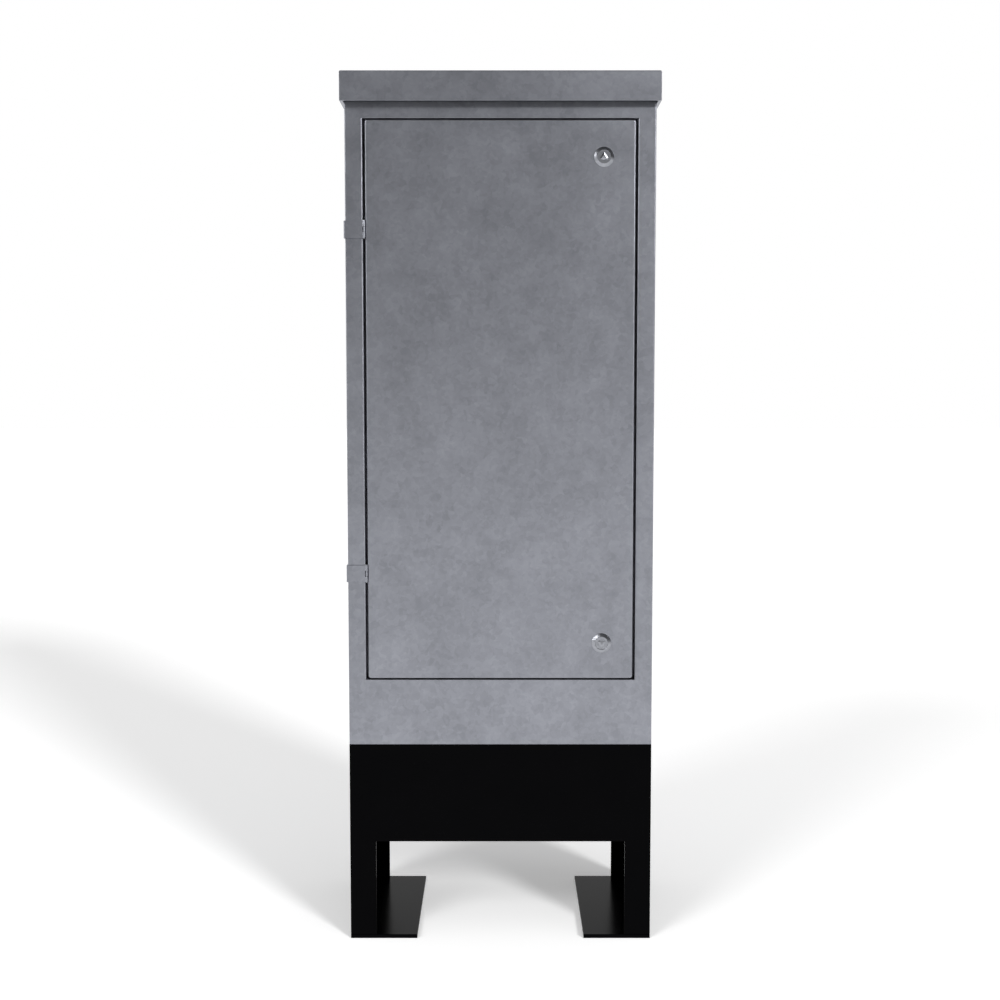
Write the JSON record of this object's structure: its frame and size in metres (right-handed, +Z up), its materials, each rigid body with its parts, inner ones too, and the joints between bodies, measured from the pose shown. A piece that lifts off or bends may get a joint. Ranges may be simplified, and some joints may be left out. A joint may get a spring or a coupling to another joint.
{
  "type": "feeder pillar",
  "caption": "Galvanised sheet steel street cabinet with a side-hung door on triangular key locks, an overhanging roof and a black root frame, holding switchgear on a backboard.",
  "frame": {"origin": "on the ground under the middle of the cabinet, at the underside of the foot plates", "axes": "+Z up, the door faces -Y, +X to the right of someone facing the door"},
  "size_m": [0.461, 0.285, 1.278],
  "materials": {
    "galvanised_steel": "dull hot-dip galvanised",
    "black_coated_steel": "black bitumen coating, satin",
    "zinc_plated_steel": "zinc plated",
    "bright_lock_metal": "bright plated",
    "black_rubber": "matt",
    "plywood": "sanded, unpainted",
    "pale_grey_plastic": "satin moulded",
    "dark_plastic": "satin moulded",
    "red_plastic": "moulded",
    "blue_plastic": "moulded",
    "green_plastic": "moulded",
    "brass": "bare machined brass"
  },
  "bodies": {
    "cabinet": {"body_wrap": "galvanised_steel", "front_frame": "galvanised_steel", "roof": "galvanised_steel", "roof_studs": "zinc_plated_steel", "roof_nuts": "zinc_plated_steel", "root_left_side": "black_coated_steel", "root_right_side": "black_coated_steel", "root_front_panel": "black_coated_steel", "root_rear_panel": "black_coated_steel", "root_left_foot": "black_coated_steel", "root_right_foot": "black_coated_steel", "base_bolts": "zinc_plated_steel", "base_nuts": "zinc_plated_steel", "cable_bar": "galvanised_steel", "body_earth_stud": "brass", "backboard": "plywood", "board_studs": "zinc_plated_steel", "board_spacers": "zinc_plated_steel", "board_nuts": "zinc_plated_steel", "din_rail": "zinc_plated_steel", "rail_screws": "zinc_plated_steel", "main_switch": "pale_grey_plastic", "breaker_1": "pale_grey_plastic", "breaker_2": "pale_grey_plastic", "breaker_3": "pale_grey_plastic", "breaker_4": "pale_grey_plastic", "terminal_screws": "zinc_plated_steel", "neutral_bar": "brass", "neutral_posts": "blue_plastic", "neutral_screws": "zinc_plated_steel", "earth_bar": "brass", "earth_posts": "green_plastic", "earth_screws": "zinc_plated_steel", "upper_hinge_leaf": "galvanised_steel", "upper_hinge_pin": "zinc_plated_steel", "lower_hinge_leaf": "galvanised_steel", "lower_hinge_pin": "zinc_plated_steel", "hinge_rivets": "zinc_plated_steel"},
    "door": {"door_pan": "galvanised_steel", "door_stiffener": "galvanised_steel", "door_seal": "black_rubber", "door_earth_stud": "brass", "upper_hinge_door_leaf": "galvanised_steel", "lower_hinge_door_leaf": "galvanised_steel", "upper_lock_housing": "bright_lock_metal", "upper_lock_nut": "zinc_plated_steel", "lower_lock_housing": "bright_lock_metal", "lower_lock_nut": "zinc_plated_steel"},
    "upper_lock": {"upper_lock_spindle": "bright_lock_metal", "upper_lock_cam": "zinc_plated_steel", "upper_cam_screw": "zinc_plated_steel"},
    "lower_lock": {"lower_lock_spindle": "bright_lock_metal", "lower_lock_cam": "zinc_plated_steel", "lower_cam_screw": "zinc_plated_steel"},
    "main_toggle": {"main_toggle": "red_plastic"},
    "breaker_1_toggle": {"breaker_1_toggle": "dark_plastic"},
    "breaker_2_toggle": {"breaker_2_toggle": "dark_plastic"},
    "breaker_3_toggle": {"breaker_3_toggle": "dark_plastic"},
    "breaker_4_toggle": {"breaker_4_toggle": "dark_plastic"}
  },
  "joints": [
    {"name": "door_swing", "type": "hinge", "parent": "cabinet", "child": "door", "pos_m": [-0.1974, -0.1276, 0.804], "axis": [0, 0, -1], "range_deg": [0, 115]},
    {"name": "upper_lock_turn", "type": "hinge", "parent": "door", "child": "upper_lock", "pos_m": [0.1495, -0.1275, 1.1585], "axis": [0, -1, 0], "range_deg": [0, 90]},
    {"name": "lower_lock_turn", "type": "hinge", "parent": "door", "child": "lower_lock", "pos_m": [0.1495, -0.1275, 0.4495], "axis": [0, 1, 0], "range_deg": [0, 90]},
    {"name": "main_throw", "type": "hinge", "parent": "cabinet", "child": "main_toggle", "pos_m": [-0.036, 0.0415, 0.9785], "axis": [-1, 0, 0], "range_deg": [0, 70]},
    {"name": "breaker_1_throw", "type": "hinge", "parent": "cabinet", "child": "breaker_1_toggle", "pos_m": [-0.009, 0.0415, 0.9785], "axis": [-1, 0, 0], "range_deg": [0, 70]},
    {"name": "breaker_2_throw", "type": "hinge", "parent": "cabinet", "child": "breaker_2_toggle", "pos_m": [0.009, 0.0415, 0.9785], "axis": [-1, 0, 0], "range_deg": [0, 70]},
    {"name": "breaker_3_throw", "type": "hinge", "parent": "cabinet", "child": "breaker_3_toggle", "pos_m": [0.027, 0.0415, 0.9785], "axis": [-1, 0, 0], "range_deg": [0, 70]},
    {"name": "breaker_4_throw", "type": "hinge", "parent": "cabinet", "child": "breaker_4_toggle", "pos_m": [0.045, 0.0415, 0.9785], "axis": [-1, 0, 0], "range_deg": [0, 70]}
  ]
}
